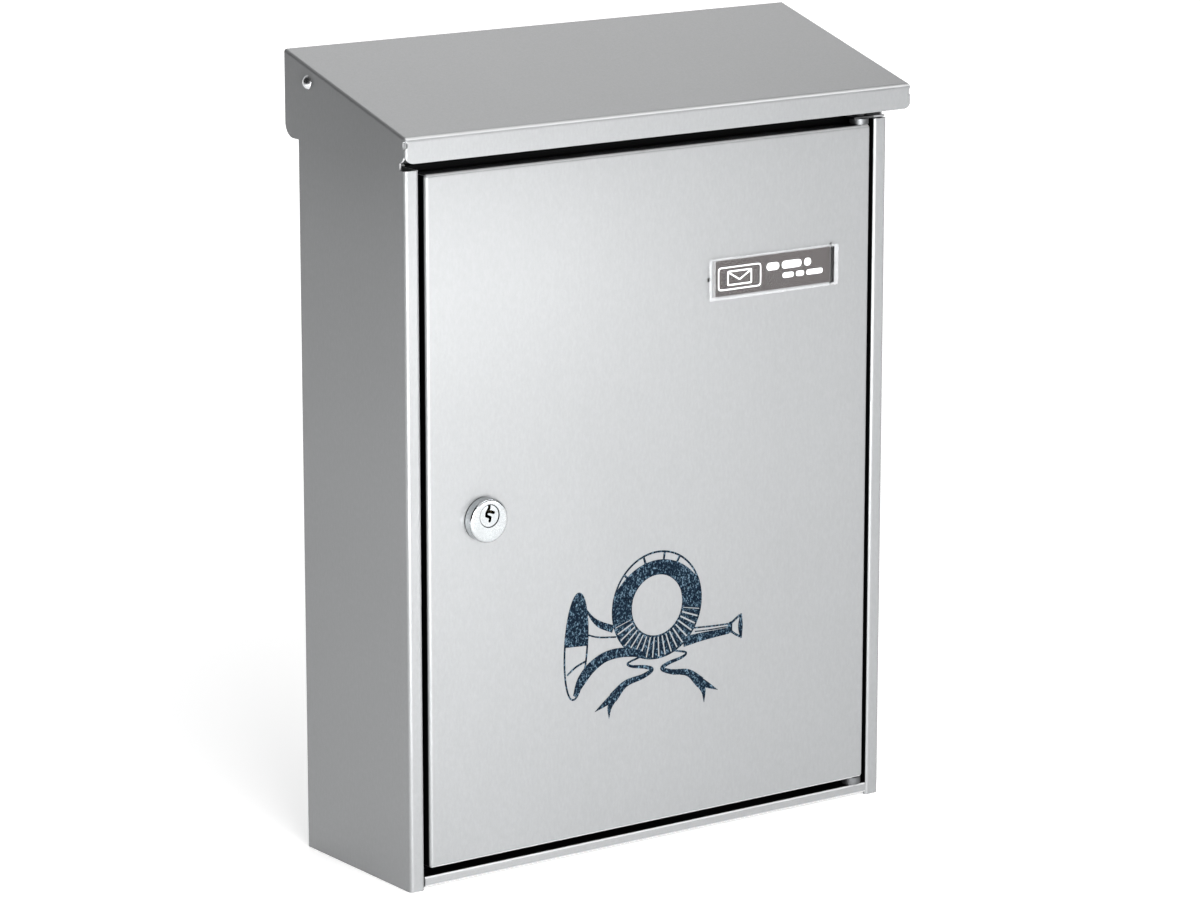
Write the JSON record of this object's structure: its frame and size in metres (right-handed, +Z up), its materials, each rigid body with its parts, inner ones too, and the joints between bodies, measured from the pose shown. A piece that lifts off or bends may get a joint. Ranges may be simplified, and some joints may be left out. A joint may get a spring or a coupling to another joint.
{
  "type": "wall mounted mailbox",
  "caption": "Flat wall letter box of painted sheet steel, with a sloping lift-up lid over the mail slot and a side-hinged door with a cam lock and a name plate.",
  "frame": {"origin": "on the wall, in the middle of the four wall holes", "axes": "+X to the right as a person facing the box sees it, +Y into the wall, +Z up; the door faces -Y"},
  "size_m": [0.2546, 0.091, 0.3322],
  "materials": {
    "silver_paint": "silver textured paint, satin",
    "zinc_steel": "zinc plated",
    "rivet_aluminium": "bright",
    "lock_chrome": "polished",
    "wafer_brass": "plain",
    "clear_plastic": "clear",
    "label_card": "printed card"
  },
  "bodies": {
    "casing": {"casing_wrap": "silver_paint", "bottom_tray": "silver_paint", "top_rail": "silver_paint", "lower_hinge_pin": "zinc_steel", "lower_hinge_bush": "zinc_steel", "upper_hinge_pin": "zinc_steel", "upper_hinge_bush": "zinc_steel", "lid_rivet_left": "rivet_aluminium", "lid_rivet_right": "rivet_aluminium", "lid_spacer_left": "zinc_steel", "lid_spacer_right": "zinc_steel", "lid_rivet_washers": "zinc_steel"},
    "door": {"door_panel": "silver_paint", "lock_housing": "lock_chrome", "lock_washer": "zinc_steel", "lock_nut": "zinc_steel", "name_plate_cover": "clear_plastic", "name_label": "label_card", "name_plate_clips": "zinc_steel"},
    "lock_core": {"lock_plug": "lock_chrome", "lock_wafers": "wafer_brass", "cam_stop_washer": "zinc_steel", "lock_cam": "zinc_steel", "cam_spring_washer": "zinc_steel", "cam_screw": "zinc_steel"},
    "lid": {"lid_panel": "silver_paint"}
  },
  "joints": [
    {"name": "door_hinge", "type": "hinge", "parent": "casing", "child": "door", "pos_m": [0.1079, -0.0785, 0], "axis": [0, 0, 1], "range_deg": [0, 100]},
    {"name": "lock_turn", "type": "hinge", "parent": "door", "child": "lock_core", "pos_m": [-0.0845, -0.075, -0.0084], "axis": [0, 1, 0], "range_deg": [0, 90]},
    {"name": "lid_hinge", "type": "hinge", "parent": "casing", "child": "lid", "pos_m": [0, -0.021, 0.16077], "axis": [-1, 0, 0], "range_deg": [0, 65]}
  ]
}
